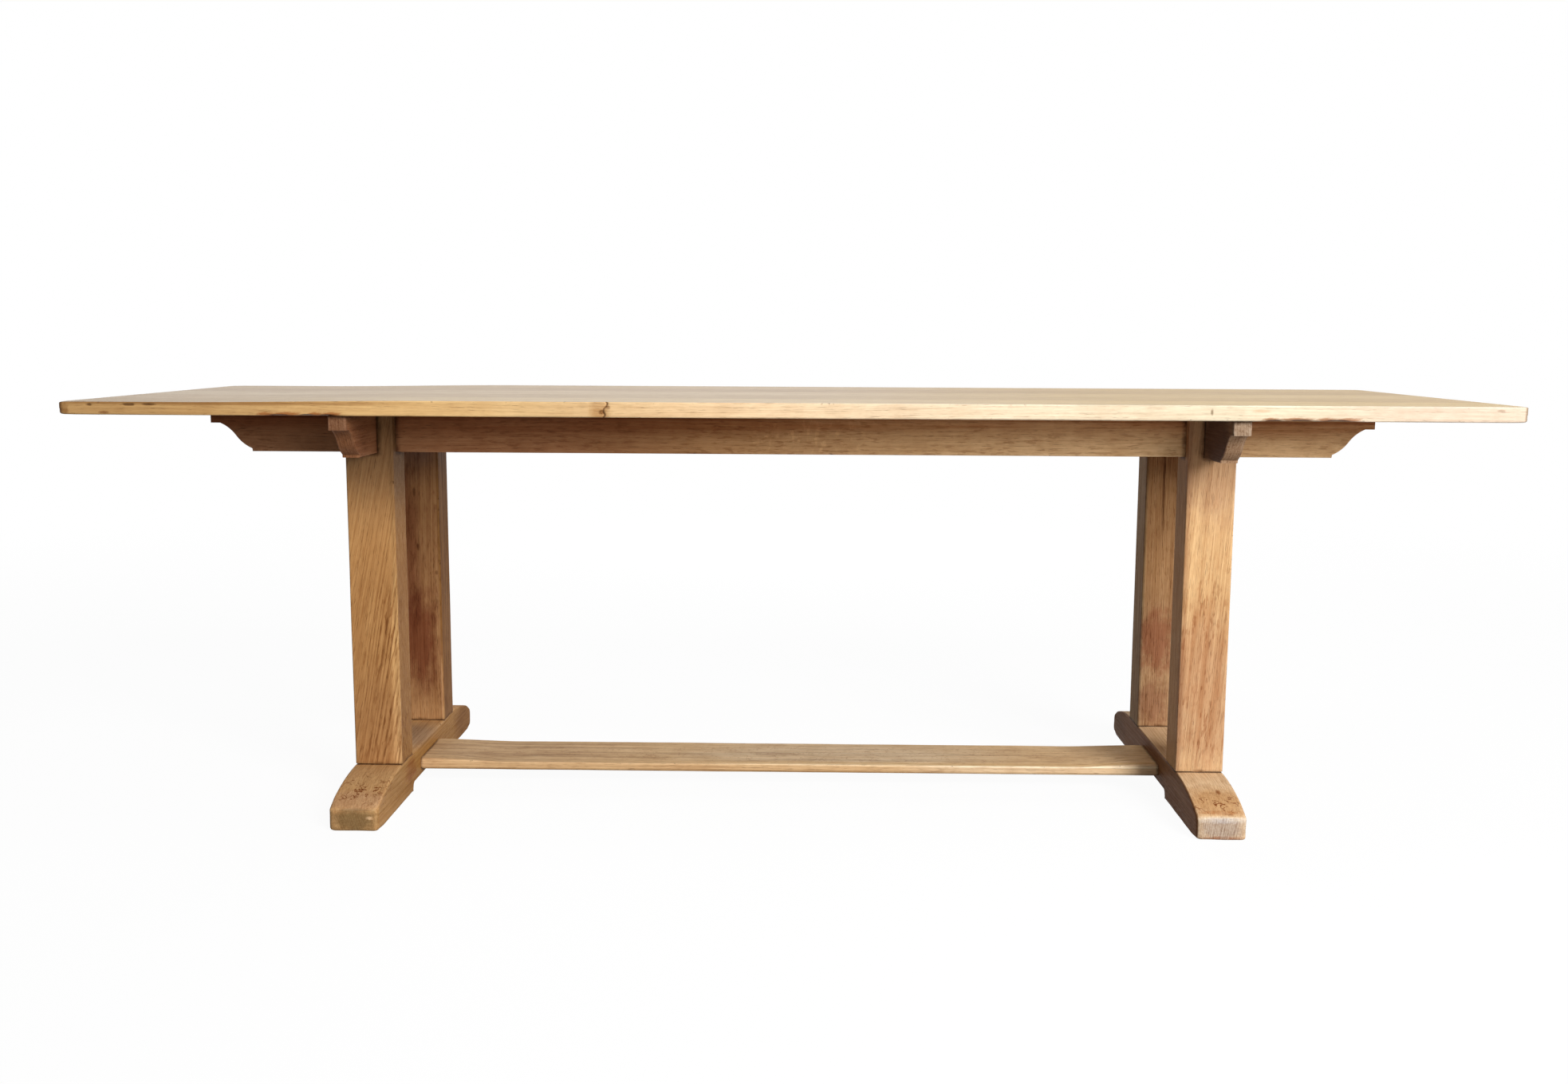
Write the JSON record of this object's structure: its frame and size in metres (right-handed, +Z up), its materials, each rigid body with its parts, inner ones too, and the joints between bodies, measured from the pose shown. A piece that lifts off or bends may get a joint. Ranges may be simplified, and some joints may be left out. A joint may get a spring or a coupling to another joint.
{
  "type": "trestle dining table",
  "caption": "Oak trestle dining table: boarded top on ogee-ended rails and bearers, forked posts, sledge feet and a flat foot-worn stretcher.",
  "frame": {"origin": "on the floor under the middle of the top", "axes": "+X along the table to the right as seen from its front, +Y towards its back, +Z up"},
  "size_m": [2.43, 0.785, 0.75],
  "materials": {
    "oak_top": "waxed and worn, satin",
    "oak_beam": "darker waxed oak, satin",
    "oak_post": "waxed and worn, satin",
    "oak_foot": "scuffed waxed oak, matt",
    "oak_stretcher": "foot-worn oak, matt",
    "oak_button": "bare oak, matt",
    "oak_hidden": "bare oak, matt",
    "screw_steel": "dull steel"
  },
  "bodies": {
    "root": {"top_board_1": "oak_top", "top_board_2": "oak_top", "top_board_3": "oak_top", "top_board_4": "oak_top", "top_board_5": "oak_top", "top_tongue_1": "oak_hidden", "top_tongue_2": "oak_hidden", "top_tongue_3": "oak_hidden", "top_tongue_4": "oak_hidden", "post_wedges": "oak_hidden", "stretcher_wedges": "oak_hidden", "rail_front": "oak_beam", "rail_rear": "oak_beam", "bearer_left": "oak_beam", "bearer_right": "oak_beam", "post_front_left": "oak_post", "post_front_right": "oak_post", "post_rear_left": "oak_post", "post_rear_right": "oak_post", "foot_left": "oak_foot", "foot_right": "oak_foot", "stretcher": "oak_stretcher", "top_button_1": "oak_button", "top_button_2": "oak_button", "top_button_3": "oak_button", "top_button_4": "oak_button", "top_button_5": "oak_button", "top_button_6": "oak_button", "button_screws": "screw_steel", "bearer_screws": "screw_steel"}
  },
  "joints": []
}
